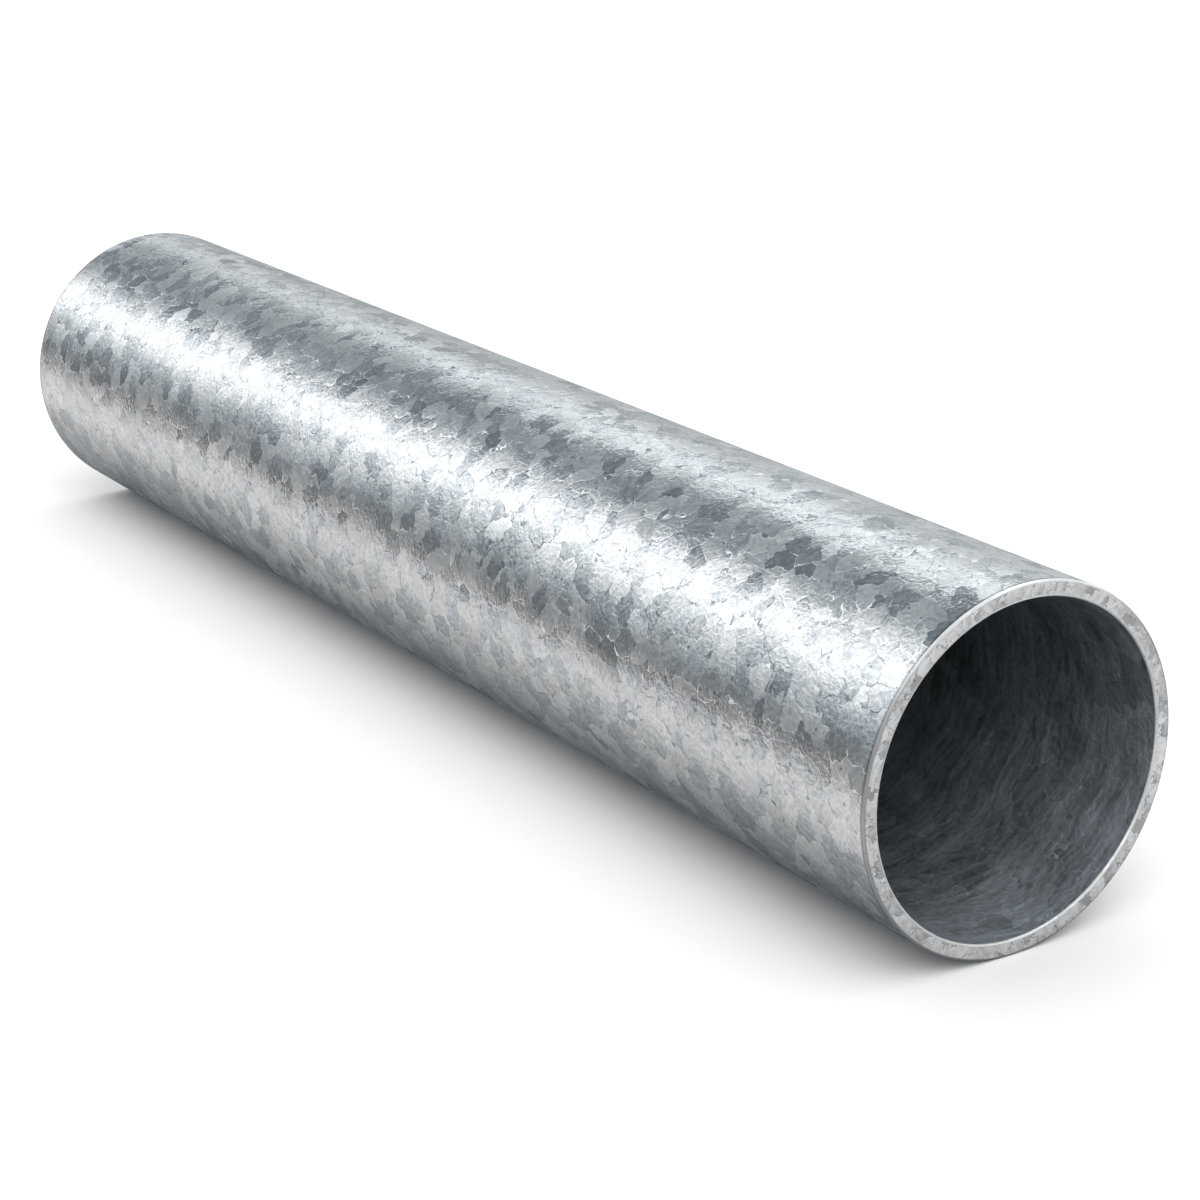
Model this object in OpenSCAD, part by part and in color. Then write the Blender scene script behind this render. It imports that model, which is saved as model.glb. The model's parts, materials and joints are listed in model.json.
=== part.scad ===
// Round galvanised steel pipe: one straight length with square-cut ends, lying on its side.
// Millimetres, +Z up. The axis runs along X, and the origin is on the floor, under the middle of the pipe.

/* [Pipe] */
// Outside diameter, 88.9 for a nominal bore of 80 (3 inch)
outside_d = 88.9; // [60.3:0.1:219.1]
// Wall thickness, 4.0 for the medium series
wall = 4; // [2:0.1:10]
// Length between the two cut ends
cut_length = 450; // [100:1:6000]

/* [Cut ends] */
// Radius left on the outer edge of each end, once deburred and dipped
outer_edge_r = 0.6; // [0.2:0.1:1.5]
// Radius left on the inner edge of each end, once reamed and dipped
inner_edge_r = 0.6; // [0.2:0.1:1.5]

/* [Hidden] */

// Facets of a preview: 2 degrees each round the pipe, and about this length on the small rounded edges
$fa = 2;
$fs = 0.16;

outside_r = outside_d / 2;
bore_r = outside_r - wall;

// An edge takes at most this share of the wall, so that a flat rim stays between the two edges
edge_share = 0.4;
outer_edge = min(outer_edge_r, edge_share * wall);
inner_edge = min(inner_edge_r, edge_share * wall);

zinc_grey = [0.55, 0.56, 0.57];

// What a rounded edge takes off a square corner: the corner is at the origin, in the +X +Y quarter
module corner_waste(r) {
    difference() {
        square(r);
        translate([r, r]) circle(r);
    }
}

// The four corners of the wall's section, each turned so that its waste points into the steel
module section_corners() {
    for (end = [0, 1]) {
        translate([0, end * cut_length]) mirror([0, end]) {
            translate([bore_r, 0]) corner_waste(inner_edge);
            translate([outside_r, 0]) mirror([1, 0]) corner_waste(outer_edge);
        }
    }
}

// Section of the wall: radius along X, length along Y
module wall_section() {
    difference() {
        translate([bore_r, 0]) square([wall, cut_length]);
        section_corners();
    }
}

// The wall's section turned once round the axis, then laid on the floor
module pipe() {
    color(zinc_grey)
    translate([-cut_length / 2, 0, outside_r])
    rotate([0, 90, 0])
    rotate_extrude() wall_section();
}

pipe();
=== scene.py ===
"""One length of round galvanised steel pipe, lying on a pale studio floor."""

import json
import math

import bmesh
import bpy
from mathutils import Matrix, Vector


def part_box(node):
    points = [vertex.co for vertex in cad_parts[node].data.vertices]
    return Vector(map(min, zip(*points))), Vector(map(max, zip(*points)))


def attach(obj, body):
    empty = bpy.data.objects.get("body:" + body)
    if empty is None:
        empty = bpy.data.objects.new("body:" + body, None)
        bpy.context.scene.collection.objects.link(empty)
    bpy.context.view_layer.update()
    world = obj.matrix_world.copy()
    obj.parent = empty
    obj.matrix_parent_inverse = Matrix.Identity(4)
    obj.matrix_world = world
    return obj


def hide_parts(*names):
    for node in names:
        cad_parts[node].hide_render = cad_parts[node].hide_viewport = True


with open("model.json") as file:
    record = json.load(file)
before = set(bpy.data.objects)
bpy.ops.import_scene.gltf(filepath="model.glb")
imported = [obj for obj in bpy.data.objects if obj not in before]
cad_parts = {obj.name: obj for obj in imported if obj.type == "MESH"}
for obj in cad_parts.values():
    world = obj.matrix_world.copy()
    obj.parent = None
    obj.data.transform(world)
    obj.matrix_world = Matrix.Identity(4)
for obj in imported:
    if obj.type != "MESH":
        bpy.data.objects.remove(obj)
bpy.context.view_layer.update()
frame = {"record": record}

# Sizes of the pipe, in metres, from the frame
MM = 0.001
PIPE_LOW, PIPE_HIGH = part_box("pipe")
LENGTH = PIPE_HIGH.x - PIPE_LOW.x
HALF_LENGTH = LENGTH / 2
MOUNTS = {mount["name"]: mount for mount in frame["record"]["mounts"]}
OUTSIDE_R = MOUNTS["outside"]["dims"]["r_mm"] * MM
BORE_R = MOUNTS["bore"]["dims"]["r_mm"] * MM
AXIS_Z = MOUNTS["bore"]["pos_m"][2]
WALL = OUTSIDE_R - BORE_R
MID_WALL_R = OUTSIDE_R - WALL / 2
# The bore mount ends where the rounded inner edges begin
EDGE_R = (LENGTH - MOUNTS["bore"]["dims"]["length_mm"] * MM) / 2
# Width of the thin dark line round the pipe, just before its rounded ends
DARK_LINE_WIDTH = 0.9 * MM
# Points nearer than this are the same point
CLOSE = 0.02 * MM

# How finely the pipe is cut up: around, along and over a rounded edge
TURN_SIDES = 288
LENGTH_CUTS = 89
EDGE_STEPS = 5
# Faces that meet at less than this angle are shaded as one surface
SMOOTH_ANGLE = math.radians(40)
# How far a face's normal points along the pipe: more than the first on a cut end,
# and less than the second on a wall
END_NORMAL = 0.99
WALL_NORMAL = 0.01
# Room between the unrolled sheets of the pipe's map, as a share of its side
UNWRAP_ROOM = 0.001
PACK_ROOM = 0.004

# Colours of the zinc, as linear light
OUTSIDE_DULL = (0.34, 0.362, 0.381, 1)
OUTSIDE_BRIGHT = (0.625, 0.627, 0.625, 1)
OUTSIDE_SEAM = (0.10, 0.11, 0.12, 1)
CUT_END_DULL = (0.40, 0.404, 0.408, 1)
CUT_END_BRIGHT = (0.82, 0.824, 0.827, 1)
CUT_END_SEAM = (0.14, 0.14, 0.145, 1)
# Colours of the rounded edges: plain, and with the painted highlight
EDGE_PLAIN = (0.36, 0.36, 0.36, 1)
EDGE_HIGHLIGHT = (0.92, 0.92, 0.915, 1)
BORE_DARK = (0.085, 0.098, 0.109, 1)
BORE_PALE = (0.335, 0.375, 0.408, 1)
# The zinc flakes overlap like scales, and the free lip of each is on this side of it
SCALE_SIDE = (0.5, -0.5, -0.7)

# The photograph's view: a point near the middle of the pipe, and the way the camera looks at it
LOOK_AT = Vector((0.0227, 0.0212, 0.0229))
LOOK_AZIMUTH = math.radians(56.776)
LOOK_ELEVATION = math.radians(18.909)
LOOK_DISTANCE = 0.793
LENS_MM = 83.6
SENSOR_MM = 36

# The studio: a floor, and a round tent of soft light whose strips run along the pipe
FLOOR_SIDE = 16
FLOOR_PALE = (0.95, 0.95, 0.95, 1)
# The floor's colour to light that bounces off it, so that little of that light reaches the bore
FLOOR_BOUNCE = (0.32, 0.32, 0.32, 1)
TENT_R = 0.21
TENT_LENGTH = 9
TENT_SIDES = 128
# Angle from straight up towards the camera's side, in degrees, and the light's strength and tint there
TENT_STRIPS = [
    (-105, 0.40, (0.94, 0.98, 1.00)),
    (-92, 0.46, (0.92, 0.97, 1.00)),
    (-77, 0.70, (0.91, 0.97, 1.00)),
    (-50, 0.60, (0.91, 0.97, 1.00)),
    (-39, 1.65, (0.92, 0.97, 1.00)),
    (-31, 1.65, (0.92, 0.97, 1.00)),
    (-15, 0.43, (0.82, 0.93, 1.00)),
    (17, 0.43, (0.78, 0.91, 1.00)),
    (41, 2.40, (0.96, 0.98, 1.00)),
    (45, 2.40, (0.97, 0.99, 1.00)),
    (60, 1.22, (0.92, 0.97, 1.00)),
    (77, 0.52, (0.80, 0.92, 1.00)),
    (90, 0.28, (0.90, 0.95, 1.00)),
    (102, 0.50, (1.00, 0.97, 0.93)),
]
# The strips behind the pipe, wholly past the first angle and not at all before the second, slant:
# over this stretch they turn by this much and grow in strength
BEHIND_WHOLLY = math.radians(-25)
BEHIND_NOT = math.radians(-5)
SLANT_FROM = -0.45
SLANT_TO = 0.05
SLANT_TURN = math.radians(6)
SLANT_FADE = (0.8, 1.25)
# Dark paper under the pipe: how much light it takes away beside the pipe, and at the foot of the tent,
# and the distances from the pipe's middle line between which it does so
CARD_LENGTH = 2.4
CARD_LIFT = 0.0002
CARD_COLOUR = (0.04, 0.063, 0.082, 1)
CARD_DARK = 0.74
CARD_DARK_FROM = 0.02
CARD_DARK_TO = 0.10
CARD_DIM = 0.66
CARD_DIM_FROM = 0.10
# The sky over the floor: its strength at the horizon and overhead, and the rise from which it is overhead
SKY_LOW = 0.18
SKY_HIGH = 1.28
SKY_HIGH_RISE = 0.8
SUN_FROM = Vector((0.52, -0.38, 0.77))
SUN_SPREAD = math.radians(45)
SUN_STRENGTH = 0.95
WHITE = (1, 1, 1, 1)


def clear_selection():
    bpy.ops.object.select_all(action="DESELECT")


def from_axis(point):
    """Distance of a point from the middle line of the pipe."""
    return math.hypot(point.y, point.z - AXIS_Z)


def select_faces(piece, wanted):
    """In edit mode, selects the faces for which wanted(face) is true."""
    bpy.ops.mesh.select_mode(type="FACE")
    bpy.ops.mesh.select_all(action="DESELECT")
    mesh = bmesh.from_edit_mesh(piece.data)
    for face in mesh.faces:
        face.select_set(wanted(face))
    bmesh.update_edit_mesh(piece.data)


def select_edges(piece, wanted):
    """In edit mode, selects the edges for which wanted(start, end) is true."""
    bpy.ops.mesh.select_mode(type="EDGE")
    bpy.ops.mesh.select_all(action="DESELECT")
    mesh = bmesh.from_edit_mesh(piece.data)
    for edge in mesh.edges:
        edge.select_set(wanted(edge.verts[0].co, edge.verts[1].co))
    bmesh.update_edit_mesh(piece.data)


def at_an_end(point):
    return abs(abs(point.x) - HALF_LENGTH) < CLOSE


def on_a_rim_circle(start, end):
    same_end = abs(start.x - end.x) < CLOSE
    level = abs(from_axis(start) - from_axis(end)) < CLOSE
    return at_an_end(start) and same_end and level


def on_an_inner_circle(start, end):
    return on_a_rim_circle(start, end) and from_axis(start) < MID_WALL_R


def runs_along(start, end):
    return abs(start.x - end.x) > HALF_LENGTH


def is_end_face(face):
    return abs(face.normal.x) > END_NORMAL


def is_bore_wall(face):
    middle = face.calc_center_median()
    return abs(face.normal.x) < WALL_NORMAL and from_axis(middle) < MID_WALL_R


def is_rounded_edge(face):
    return WALL_NORMAL <= abs(face.normal.x) <= END_NORMAL


def is_seam(start, end):
    """True along the lowest line of both walls, and where a rounded edge meets a wall."""
    under = max(abs(start.y), abs(end.y)) < CLOSE and max(start.z, end.z) < AXIS_Z
    along = under and abs(start.z - end.z) < CLOSE
    square = abs(start.x - end.x) < CLOSE
    round_a_wall = square and abs(abs(start.x) - HALF_LENGTH + EDGE_R) < CLOSE
    return along or round_a_wall


def make_pipe():
    """A bar is opened to a tube, its cut edges are rounded, and its walls are cut into short rings."""
    clear_selection()
    bpy.ops.mesh.primitive_cylinder_add(
        vertices=TURN_SIDES, radius=OUTSIDE_R, depth=LENGTH, end_fill_type="NGON",
        location=(0, 0, AXIS_Z), rotation=(0, math.radians(90), 0))
    pipe = bpy.context.object
    pipe.name = "galvanised_pipe"
    pipe.data.name = "galvanised_pipe"
    bpy.ops.object.transform_apply(location=True, rotation=True, scale=True)
    bpy.ops.object.mode_set(mode="EDIT")
    open_bore(pipe)
    round_edges(pipe)
    cut_rings(pipe)
    bpy.ops.mesh.select_all(action="SELECT")
    bpy.ops.mesh.remove_doubles(threshold=CLOSE / 10)
    bpy.ops.mesh.normals_make_consistent(inside=False)
    dress_faces(pipe)
    unroll(pipe)
    bpy.ops.object.mode_set(mode="OBJECT")
    bpy.ops.object.shade_smooth_by_angle(angle=SMOOTH_ANGLE)
    return pipe


def open_bore(pipe):
    """The ends are inset by the wall, their middles taken out, and the two holes joined through the bar."""
    select_faces(pipe, is_end_face)
    bpy.ops.mesh.inset(thickness=WALL, use_even_offset=True)
    bpy.ops.mesh.delete(type="FACE")
    select_edges(pipe, on_an_inner_circle)
    bpy.ops.mesh.bridge_edge_loops()


def round_edges(pipe):
    select_edges(pipe, on_a_rim_circle)
    bpy.ops.mesh.bevel(offset=EDGE_R, segments=EDGE_STEPS, profile=0.5, affect="EDGES")


def cut_rings(pipe):
    select_edges(pipe, runs_along)
    bpy.ops.mesh.subdivide(number_cuts=LENGTH_CUTS)


def dress_faces(pipe):
    """Slot 0 is the outside, 1 the rounded edges, 2 the flat cut ends and 3 the bore."""
    for finish in (outside_zinc(), edge_zinc(), cut_end_zinc(), bore_zinc()):
        pipe.data.materials.append(finish)
    for slot, wanted in ((1, is_rounded_edge), (2, is_end_face), (3, is_bore_wall)):
        select_faces(pipe, wanted)
        pipe.active_material_index = slot
        bpy.ops.object.material_slot_assign()


def unroll(pipe):
    """The map that the export bakes on: each wall unrolled flat, and each end a ring."""
    pipe.data.uv_layers[0].name = "OFBake"
    select_edges(pipe, is_seam)
    bpy.ops.mesh.mark_seam(clear=False)
    bpy.ops.mesh.select_all(action="SELECT")
    bpy.ops.uv.unwrap(method="ANGLE_BASED", margin=UNWRAP_ROOM)
    bpy.ops.uv.average_islands_scale()
    bpy.ops.uv.pack_islands(margin=PACK_ROOM)


def place(tree, kind, inputs=None, **settings):
    """Adds a node with its settings, and sets or links each input that is named or numbered."""
    node = tree.nodes.new(kind)
    for name, value in settings.items():
        setattr(node, name, value)
    for name, value in (inputs or {}).items():
        if isinstance(value, bpy.types.NodeSocket):
            tree.links.new(value, node.inputs[name])
        else:
            node.inputs[name].default_value = value
    return node


def maths(tree, operation, first, second=0.0):
    return place(tree, "ShaderNodeMath", {0: first, 1: second}, operation=operation).outputs[0]


def add(tree, first, *others):
    """The sum of all the values."""
    for other in others:
        first = maths(tree, "ADD", first, other)
    return first


def multiply(tree, first, second):
    return maths(tree, "MULTIPLY", first, second)


def vector_maths(tree, operation, first, second=(0, 0, 0)):
    return place(tree, "ShaderNodeVectorMath", {0: first, 1: second}, operation=operation).outputs[0]


def times(tree, vector, factor):
    scaled = place(tree, "ShaderNodeVectorMath", {"Vector": vector, "Scale": factor}, operation="SCALE")
    return scaled.outputs[0]


def dot(tree, first, second):
    product = place(tree, "ShaderNodeVectorMath", {0: first, 1: second}, operation="DOT_PRODUCT")
    return product.outputs["Value"]


def parts_of(tree, vector):
    return place(tree, "ShaderNodeSeparateXYZ", {0: vector}).outputs


def remap(tree, value, low, high, to_low=0.0, to_high=1.0, smooth=False):
    kind = "SMOOTHSTEP" if smooth else "LINEAR"
    ranges = {"Value": value, "From Min": low, "From Max": high, "To Min": to_low, "To Max": to_high}
    return place(tree, "ShaderNodeMapRange", ranges, interpolation_type=kind).outputs["Result"]


def mix_values(tree, factor, first, second):
    return place(tree, "ShaderNodeMix", {0: factor, 2: first, 3: second}, data_type="FLOAT").outputs[0]


def mix_colours(tree, factor, first, second):
    return place(tree, "ShaderNodeMix", {0: factor, 6: first, 7: second}, data_type="RGBA").outputs[2]


def from_middle(tree, colour):
    """Turns a random colour into a vector that points any way."""
    return vector_maths(tree, "SUBTRACT", colour, (0.5, 0.5, 0.5))


def stretched(tree, position, scale):
    return place(tree, "ShaderNodeMapping", {"Vector": position, "Scale": scale}).outputs[0]


def noise(tree, position, scale, detail=2.0, roughness=0.5):
    return place(tree, "ShaderNodeTexNoise",
                 {"Vector": position, "Scale": scale, "Detail": detail, "Roughness": roughness}).outputs


def ridges(tree, position, scale):
    """A web of thin curled lines, 1 on the lines and less between them."""
    inputs = {"Vector": position, "Scale": scale, "Detail": 1.0, "Roughness": 0.6, "Offset": 1.0, "Gain": 1.0}
    lines = place(tree, "ShaderNodeTexNoise", inputs, noise_type="RIDGED_MULTIFRACTAL").outputs["Fac"]
    return remap(tree, lines, 0.5, 1.5)


def cells(tree, position, scale, feature="F1"):
    return place(tree, "ShaderNodeTexVoronoi", {"Vector": position, "Scale": scale}, feature=feature).outputs


def new_group(name, inputs, outputs):
    """An empty node group with named sockets, and its two end nodes."""
    group = bpy.data.node_groups.new(name, "ShaderNodeTree")
    for socket, kind in inputs:
        group.interface.new_socket(name=socket, in_out="INPUT", socket_type=kind)
    for socket, kind in outputs:
        group.interface.new_socket(name=socket, in_out="OUTPUT", socket_type=kind)
    return group, group.nodes.new("NodeGroupInput").outputs, group.nodes.new("NodeGroupOutput").inputs


FLOAT = "NodeSocketFloat"
VECTOR = "NodeSocketVector"


def zinc_grains_group():
    """Zinc crystals: ragged flakes with fine curled lines, each with its own tone, dullness and lean."""
    wanders_per_grain = 2.2
    strokes_per_curl = 1.4
    stroke_stretch = 0.85
    stroke_height = 3.0
    # Distances from a flake's edge, as shares of a flake, between which its lip and its seam fade out
    lip_fade = (0.01, 0.06)
    seam_fade = (0.01, 0.035)
    # From the tucked side of a flake to its free side, the lip grows by this much
    side_span = (-0.3, 0.6)
    lip_growth = (0.35, 1.0)
    group, given, made = new_group(
        "zinc_grains",
        [("Position", VECTOR), ("Grains", FLOAT), ("Ragged", FLOAT), ("Curls", FLOAT), ("Relief", FLOAT),
         ("Lean", FLOAT), ("Edge Lean", FLOAT)],
        [("Tone", FLOAT), ("Dullness", FLOAT), ("Seam", FLOAT), ("Outline", FLOAT), ("Curl", FLOAT),
         ("Stroke", FLOAT), ("Normal", VECTOR)])
    position, grains = given["Position"], given["Grains"]
    # Flakes with ragged outlines, from cells whose position wanders
    wander = noise(group, position, multiply(group, grains, wanders_per_grain), detail=1.3, roughness=0.55)
    shift = times(group, from_middle(group, wander["Color"]), given["Ragged"])
    ragged = vector_maths(group, "ADD", position, shift)
    grain = cells(group, ragged, grains)
    edge = cells(group, ragged, grains, "DISTANCE_TO_EDGE")["Distance"]
    own_values = parts_of(group, grain["Color"])
    own_way = place(group, "ShaderNodeTexWhiteNoise", {"Vector": grain["Color"]}, noise_dimensions="3D")
    lean = from_middle(group, own_way.outputs["Color"])
    # Fine strokes drawn out along each flake's own way, and a web of curled lines over all of them
    way = vector_maths(group, "NORMALIZE", lean)
    along = multiply(group, dot(group, position, way), stroke_stretch)
    drawn_out = vector_maths(group, "SUBTRACT", position, times(group, way, along))
    strokes = multiply(group, given["Curls"], strokes_per_curl)
    stroke = noise(group, drawn_out, strokes, roughness=0.6)["Fac"]
    curl = ridges(group, position, given["Curls"])
    # The lip rolls off the flake's edge, most on the free side
    outwards = vector_maths(group, "NORMALIZE", vector_maths(group, "SUBTRACT", ragged, grain["Position"]))
    side = dot(group, outwards, SCALE_SIDE)
    lip = multiply(group, remap(group, edge, *lip_fade, 1.0, 0.0, smooth=True),
                   remap(group, side, *side_span, *lip_growth))
    rolled_off = multiply(group, lip, given["Edge Lean"])
    facing = place(group, "ShaderNodeNewGeometry").outputs["Normal"]
    facing = vector_maths(group, "ADD", facing, times(group, lean, given["Lean"]))
    facing = vector_maths(group, "ADD", facing, times(group, outwards, rolled_off))
    facing = vector_maths(group, "NORMALIZE", facing)
    height = add(group, curl, multiply(group, stroke, stroke_height))
    bump = place(group, "ShaderNodeBump", {"Height": height, "Distance": given["Relief"], "Normal": facing})
    group.links.new(own_values["Y"], made["Tone"])
    group.links.new(own_values["Z"], made["Dullness"])
    group.links.new(remap(group, edge, *seam_fade, 1.0, 0.0, smooth=True), made["Seam"])
    group.links.new(lip, made["Outline"])
    group.links.new(curl, made["Curl"])
    group.links.new(stroke, made["Stroke"])
    group.links.new(bump.outputs["Normal"], made["Normal"])
    return group


def pits_group():
    """Painted shade in tiny pits: dark specks, one in each of a share of the cells."""
    speck_fade = (0.08, 0.22)
    group, given, made = new_group("zinc_pits", [("Position", VECTOR), ("Pits", FLOAT), ("Share", FLOAT)],
                                   [("Pit", FLOAT)])
    speck = cells(group, given["Position"], given["Pits"])
    near = remap(group, speck["Distance"], *speck_fade, 1.0, 0.0, smooth=True)
    kept = maths(group, "LESS_THAN", parts_of(group, speck["Color"])["X"], given["Share"])
    group.links.new(multiply(group, near, kept), made["Pit"])
    return group


ZINC_GRAINS = zinc_grains_group()
ZINC_PITS = pits_group()


def grains_on(tree, position, **values):
    """Places the flakes with their values: how many to a metre, how ragged, how curled, and their relief."""
    inputs = {name.replace("_", " ").title(): value for name, value in values.items()}
    return place(tree, "ShaderNodeGroup", {"Position": position, **inputs}, node_tree=ZINC_GRAINS).outputs


def pits_on(tree, position, pits, share):
    return place(tree, "ShaderNodeGroup", {"Position": position, "Pits": pits, "Share": share},
                 node_tree=ZINC_PITS).outputs["Pit"]


def new_finish(name, metallic=1.0):
    """A material with a metal shader, and the position on the piece that its patterns read."""
    finish = bpy.data.materials.new(name)
    finish.use_nodes = True
    tree = finish.node_tree
    shader = tree.nodes["Principled BSDF"]
    shader.inputs["Metallic"].default_value = metallic
    position = place(tree, "ShaderNodeTexCoord").outputs["Object"]
    return finish, tree, shader, position


def connect(tree, shader, colour, roughness, normal):
    tree.links.new(colour, shader.inputs["Base Color"])
    tree.links.new(roughness, shader.inputs["Roughness"])
    tree.links.new(normal, shader.inputs["Normal"])


def outside_zinc():
    """Hot-dip zinc on the outside: bright ragged flakes with thin dark seams, and lips with a painted
    highlight.
    """
    seam_depth = 0.42
    pit_shade_depth = 0.7
    dark_line_depth = 0.8
    plain_light = 0.86
    # A few flakes are much darker than the rest
    dark_power = 2.5
    dark_depth = 0.72
    # Strokes and curled lines lighten and darken a flake by this much
    stroke_span = (0.35, 0.65)
    stroke_light = (-0.27, 0.27)
    curl_light = (-0.16, 0.18)
    # Seams show in some patches, and the painted highlight on the lips in the others
    patches = 330.0
    seam_patches = (0.51, 0.58)
    lip_patches = (0.43, 0.55)
    lip_highlight = (0.35, 0.0)
    # The darker a flake is, the more it shines
    roughness_span = (0.35, 0.13)
    finish, tree, shader, position = new_finish("outside_zinc")
    coat = grains_on(tree, position, grains=170.0, ragged=0.004, curls=600.0, relief=0.00003,
                     lean=0.10, edge_lean=0.24)
    pit = pits_on(tree, position, pits=380.0, share=0.12)
    patch = noise(tree, position, patches)["Fac"]
    seam = multiply(tree, coat["Seam"], remap(tree, patch, *seam_patches))
    # Painted highlight: the lips are lightened as if they caught the light
    lip = multiply(tree, coat["Outline"], remap(tree, patch, *lip_patches, *lip_highlight))
    light = add(tree, remap(tree, coat["Stroke"], *stroke_span, *stroke_light),
                remap(tree, coat["Curl"], 0.0, 1.0, *curl_light), lip, plain_light)
    darker = multiply(tree, maths(tree, "POWER", coat["Tone"], dark_power), dark_depth)
    zinc = mix_colours(tree, maths(tree, "SUBTRACT", light, darker), OUTSIDE_DULL, OUTSIDE_BRIGHT)
    # The zinc darkens in a thin line round the pipe, just before its rounded ends
    away = maths(tree, "ABSOLUTE", parts_of(tree, position)["X"])
    edge_begins = HALF_LENGTH - EDGE_R
    dark_line = remap(tree, away, edge_begins - DARK_LINE_WIDTH, edge_begins, 0.0, dark_line_depth, smooth=True)
    # Seams and the painted shade in the pits darken the zinc
    dark = maths(tree, "MAXIMUM", multiply(tree, seam, seam_depth), multiply(tree, pit, pit_shade_depth))
    dark = maths(tree, "MAXIMUM", dark, dark_line)
    colour = mix_colours(tree, dark, zinc, OUTSIDE_SEAM)
    connect(tree, shader, colour, remap(tree, coat["Tone"], 0.0, 1.0, *roughness_span), coat["Normal"])
    return finish


def cut_end_zinc():
    """The flat of the cut ends: matt pale zinc with faint patches and squiggles, and specks of painted shade
    in tiny pits.
    """
    seam_depth = 0.7
    pit_shade_depth = 0.6
    plain_light = 0.9
    dark_power = 3.0
    stroke_span = (0.35, 0.65)
    stroke_light = (-0.35, 0.25)
    patches = 300.0
    seam_patches = (0.43, 0.50)
    roughness_span = (0.36, 0.48)
    finish, tree, shader, position = new_finish("cut_end_zinc", metallic=0.3)
    coat = grains_on(tree, position, grains=270.0, ragged=0.004, curls=480.0, relief=0.00003,
                     lean=0.06, edge_lean=0.14)
    pit = pits_on(tree, position, pits=520.0, share=0.14)
    patch = noise(tree, position, patches)["Fac"]
    seam = multiply(tree, coat["Seam"], remap(tree, patch, *seam_patches))
    # Seams and the painted shade in the pits darken the zinc
    dark = maths(tree, "MAXIMUM", multiply(tree, seam, seam_depth), multiply(tree, pit, pit_shade_depth))
    light = add(tree, maths(tree, "SUBTRACT", plain_light, maths(tree, "POWER", coat["Tone"], dark_power)),
                remap(tree, coat["Stroke"], *stroke_span, *stroke_light))
    zinc = mix_colours(tree, light, CUT_END_DULL, CUT_END_BRIGHT)
    colour = mix_colours(tree, dark, zinc, CUT_END_SEAM)
    connect(tree, shader, colour, remap(tree, coat["Dullness"], 0.0, 1.0, *roughness_span), coat["Normal"])
    return finish


def edge_zinc():
    """The rounded edges of the cut ends, with a painted highlight along the bore and along the top of the
    pipe.
    """
    # From the bore to the flat of the cut end, the painted highlight on the inner edge has this much strength
    inner_highlight = (1.0, 0.6)
    # Each flake takes between these shares of the painted highlight
    flake_share = (0.7, 1.0)
    roughness_span = (0.24, 0.36)
    finish, tree, shader, position = new_finish("edge_zinc", metallic=0.4)
    coat = grains_on(tree, position, grains=230.0, ragged=0.006, curls=420.0, relief=0.00001,
                     lean=0.03, edge_lean=0.03)
    # Painted highlight: the edge is lighter along the bore, and at the top of the pipe where the light falls
    from_middle_line = vector_maths(tree, "SUBTRACT", position, (0, 0, AXIS_Z))
    from_middle_line = vector_maths(tree, "MULTIPLY", from_middle_line, (0, 1, 1))
    radius = place(tree, "ShaderNodeVectorMath", {0: from_middle_line}, operation="LENGTH").outputs["Value"]
    inner = remap(tree, radius, BORE_R + EDGE_R / 4, BORE_R + EDGE_R, *inner_highlight)
    inner = multiply(tree, inner, maths(tree, "LESS_THAN", radius, MID_WALL_R))
    height = parts_of(tree, position)["Z"]
    upper = remap(tree, height, AXIS_Z + OUTSIDE_R / 2, AXIS_Z + OUTSIDE_R, smooth=True)
    edge_highlight = multiply(tree, maths(tree, "MAXIMUM", inner, upper),
                      remap(tree, coat["Tone"], 0.0, 1.0, *flake_share))
    colour = mix_colours(tree, edge_highlight, EDGE_PLAIN, EDGE_HIGHLIGHT)
    connect(tree, shader, colour, remap(tree, coat["Dullness"], 0.0, 1.0, *roughness_span), coat["Normal"])
    return finish


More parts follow.
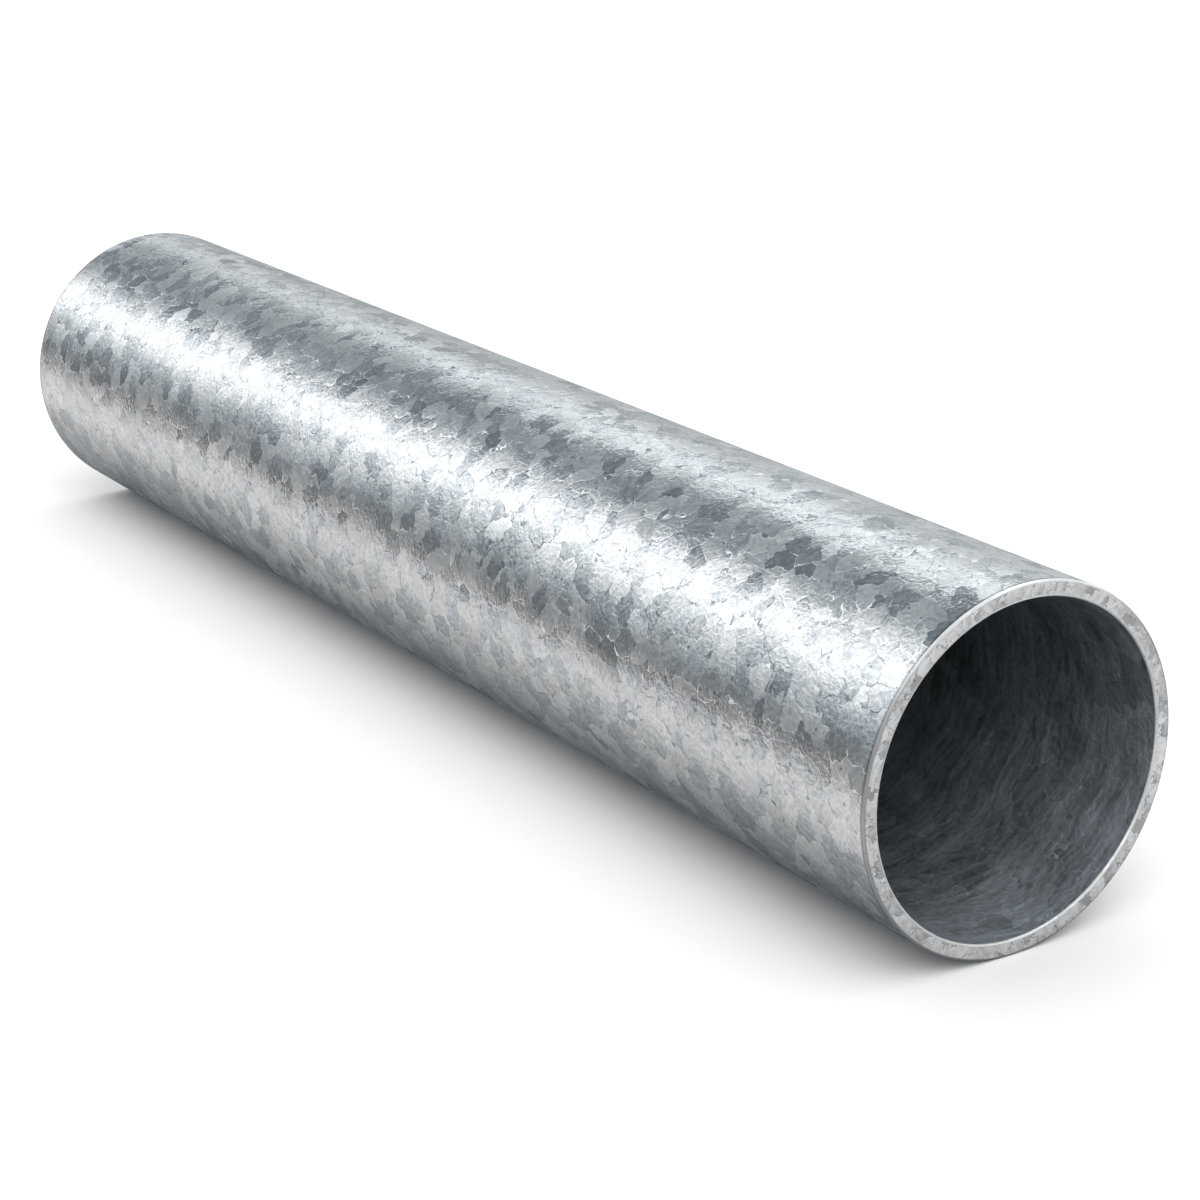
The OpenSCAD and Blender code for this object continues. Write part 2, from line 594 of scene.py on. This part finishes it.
def bore_zinc():
    """The bore: the same flakes, dark and dull, wiped round the pipe in long faint strokes and rings."""
    # How far the strokes sway, in metres
    sway = 0.012
    # Small scales across the pipe draw the strokes and the rings out round it
    wiped_scale = (1, 0.14, 0.14)
    ringed_scale = (1, 0.02, 0.02)
    # What each pattern adds to the light
    noise_span = (0.3, 0.7)
    brush_light = (-0.12, 0.28)
    cloud_light = (0.0, 0.35)
    ring_span = (0.35, 0.65)
    ring_light = (-0.12, 0.12)
    flake_light = 0.28
    curl_light = 0.20
    roughness_span = (0.44, 0.60)
    brush_relief = 0.00006
    finish, tree, shader, position = new_finish("bore_zinc", metallic=0.35)
    shader.inputs["Specular IOR Level"].default_value = 0.1
    coat = grains_on(tree, position, grains=130.0, ragged=0.006, curls=420.0, relief=0.00008,
                     lean=0.20, edge_lean=0.40)
    wander = noise(tree, position, 45.0, detail=1.0)["Color"]
    swayed = vector_maths(tree, "ADD", position, times(tree, from_middle(tree, wander), sway))
    brush = noise(tree, stretched(tree, swayed, wiped_scale), 750.0, roughness=0.6)["Fac"]
    rings = noise(tree, stretched(tree, position, ringed_scale), 130.0)["Fac"]
    cloud = noise(tree, position, 40.0, detail=3.0)["Fac"]
    light = add(tree, remap(tree, brush, *noise_span, *brush_light),
                remap(tree, cloud, *noise_span, *cloud_light),
                remap(tree, rings, *ring_span, *ring_light),
                multiply(tree, coat["Tone"], flake_light),
                multiply(tree, coat["Curl"], curl_light))
    colour = mix_colours(tree, light, BORE_DARK, BORE_PALE)
    roughness = remap(tree, brush, *noise_span, *roughness_span)
    bump = place(tree, "ShaderNodeBump",
                 {"Height": brush, "Distance": brush_relief, "Normal": coat["Normal"]})
    connect(tree, shader, colour, roughness, bump.outputs["Normal"])
    return finish


def make_floor():
    """A wide plain pale floor, which sends little light back up into the bore."""
    clear_selection()
    bpy.ops.mesh.primitive_plane_add(size=FLOOR_SIDE, location=(0, 0, PIPE_LOW.z))
    floor = bpy.context.object
    floor.name = "studio_floor"
    floor.data.materials.append(floor_paint())


def floor_paint():
    paint = bpy.data.materials.new("pale_floor")
    paint.use_nodes = True
    tree = paint.node_tree
    shader = tree.nodes["Principled BSDF"]
    bounced = place(tree, "ShaderNodeLightPath").outputs["Is Diffuse Ray"]
    tree.links.new(mix_colours(tree, bounced, FLOOR_PALE, FLOOR_BOUNCE), shader.inputs["Base Color"])
    shader.inputs["Roughness"].default_value = 1.0
    shader.inputs["Specular IOR Level"].default_value = 0.0
    return paint


def mirrored_only(piece):
    """Hides a piece of the studio from the camera and the floor, so that only the metal mirrors it."""
    piece.visible_camera = False
    piece.visible_diffuse = False
    piece.visible_shadow = False


def make_tent():
    """A round tent of soft strips along the pipe."""
    clear_selection()
    bpy.ops.mesh.primitive_cylinder_add(
        vertices=TENT_SIDES, radius=TENT_R, depth=TENT_LENGTH, end_fill_type="NOTHING",
        location=(0, 0, AXIS_Z), rotation=(0, math.radians(90), 0))
    tent = bpy.context.object
    tent.name = "light_tent"
    bpy.ops.object.transform_apply(location=True, rotation=True, scale=True)
    tent.data.materials.append(tent_light())
    mirrored_only(tent)


def bare_material(name):
    """A material with no shader yet, and the parts of the position that it reads."""
    material = bpy.data.materials.new(name)
    material.use_nodes = True
    tree = material.node_tree
    tree.nodes.clear()
    return material, tree, parts_of(tree, place(tree, "ShaderNodeTexCoord").outputs["Object"])


def tent_light():
    glow, tree, spot = bare_material("tent_light")
    height = maths(tree, "SUBTRACT", spot["Z"], AXIS_Z)
    angle = maths(tree, "ARCTAN2", multiply(tree, spot["Y"], -1.0), height)
    behind = remap(tree, angle, BEHIND_WHOLLY, BEHIND_NOT, 1.0, 0.0)
    turn = remap(tree, spot["X"], SLANT_FROM, SLANT_TO, SLANT_TURN, -SLANT_TURN)
    angle = add(tree, angle, multiply(tree, turn, behind))
    ramp = place(tree, "ShaderNodeValToRGB", {0: remap(tree, angle, -math.pi, math.pi)})
    growth = mix_values(tree, behind, 1.0, remap(tree, spot["X"], SLANT_FROM, SLANT_TO, *SLANT_FADE))
    top = max(strength for _, strength, _ in TENT_STRIPS)
    stops = ramp.color_ramp.elements
    while len(stops) < len(TENT_STRIPS):
        stops.new(0.5)
    # All the stops are placed first, and then coloured
    for stop, (degrees, _, _) in zip(stops, TENT_STRIPS):
        stop.position = degrees / 360 + 0.5
    for stop, (_, strength, tint) in zip(stops, TENT_STRIPS):
        stop.color = (*(channel * strength / top for channel in tint), 1)
    light = place(tree, "ShaderNodeEmission",
                  {"Color": ramp.outputs["Color"], "Strength": multiply(tree, growth, top)})
    place(tree, "ShaderNodeOutputMaterial", {"Surface": light.outputs[0]})
    return glow


def make_dark_card():
    """Dark paper on the floor along the pipe, which deepens the pipe's underside."""
    clear_selection()
    bpy.ops.mesh.primitive_plane_add(size=1, location=(0, 0, PIPE_LOW.z + CARD_LIFT))
    card = bpy.context.object
    card.name = "dark_card"
    card.scale = (CARD_LENGTH, 2 * TENT_R, 1)
    bpy.ops.object.transform_apply(location=True, rotation=True, scale=True)
    card.data.materials.append(card_paper())
    mirrored_only(card)


def card_paper():
    paper, tree, spot = bare_material("dark_card_paper")
    across = maths(tree, "ABSOLUTE", spot["Y"])
    cover = add(tree, remap(tree, across, CARD_DARK_FROM, CARD_DARK_TO, CARD_DARK, 0.0, smooth=True),
                remap(tree, across, CARD_DIM_FROM, TENT_R, 0.0, CARD_DIM, smooth=True))
    clear = place(tree, "ShaderNodeBsdfTransparent")
    dark = place(tree, "ShaderNodeEmission", {"Color": CARD_COLOUR})
    both = place(tree, "ShaderNodeMixShader", {0: cover, 1: clear.outputs[0], 2: dark.outputs[0]})
    place(tree, "ShaderNodeOutputMaterial", {"Surface": both.outputs[0]})
    return paper


def light_sky():
    """White where the camera and the metal look past the floor, and a softer sky over the floor."""
    world = bpy.data.worlds.new("studio")
    bpy.context.scene.world = world
    world.use_nodes = True
    tree = world.node_tree
    tree.nodes.clear()
    rays = place(tree, "ShaderNodeLightPath").outputs
    looked_at = maths(tree, "MAXIMUM", rays["Is Camera Ray"], rays["Is Glossy Ray"])
    looked_at = maths(tree, "MAXIMUM", looked_at, rays["Is Transmission Ray"])
    rise = parts_of(tree, place(tree, "ShaderNodeTexCoord").outputs["Generated"])["Z"]
    fill = place(tree, "ShaderNodeBackground",
                 {"Color": WHITE, "Strength": remap(tree, rise, 0.0, SKY_HIGH_RISE, SKY_LOW, SKY_HIGH)})
    backdrop = place(tree, "ShaderNodeBackground", {"Color": WHITE, "Strength": 1.0})
    sky = place(tree, "ShaderNodeMixShader", {0: looked_at, 1: fill.outputs[0], 2: backdrop.outputs[0]})
    place(tree, "ShaderNodeOutputWorld", {"Surface": sky.outputs[0]})


def add_sun():
    """A broad soft lamp over the camera's shoulder, which the metal doesn't mirror."""
    clear_selection()
    bpy.ops.object.light_add(type="SUN", location=SUN_FROM * 2)
    sun = bpy.context.object
    sun.name = "broad_sun"
    sun.rotation_euler = SUN_FROM.to_track_quat("Z", "Y").to_euler()
    sun.data.energy = SUN_STRENGTH
    sun.data.angle = SUN_SPREAD
    sun.visible_glossy = False


def aim_camera():
    flat = math.cos(LOOK_ELEVATION)
    towards = Vector((-flat * math.sin(LOOK_AZIMUTH), flat * math.cos(LOOK_AZIMUTH),
                      -math.sin(LOOK_ELEVATION)))
    bpy.ops.object.camera_add(location=LOOK_AT - towards * LOOK_DISTANCE,
                              rotation=towards.to_track_quat("-Z", "Y").to_euler())
    camera = bpy.context.object
    camera.data.lens = LENS_MM
    camera.data.sensor_width = SENSOR_MM
    bpy.context.scene.camera = camera


bpy.context.scene.view_settings.view_transform = "Standard"
aim_camera()
pipe = make_pipe()
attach(pipe, "root")
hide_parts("pipe")
make_floor()
make_tent()
make_dark_card()
light_sky()
add_sun()
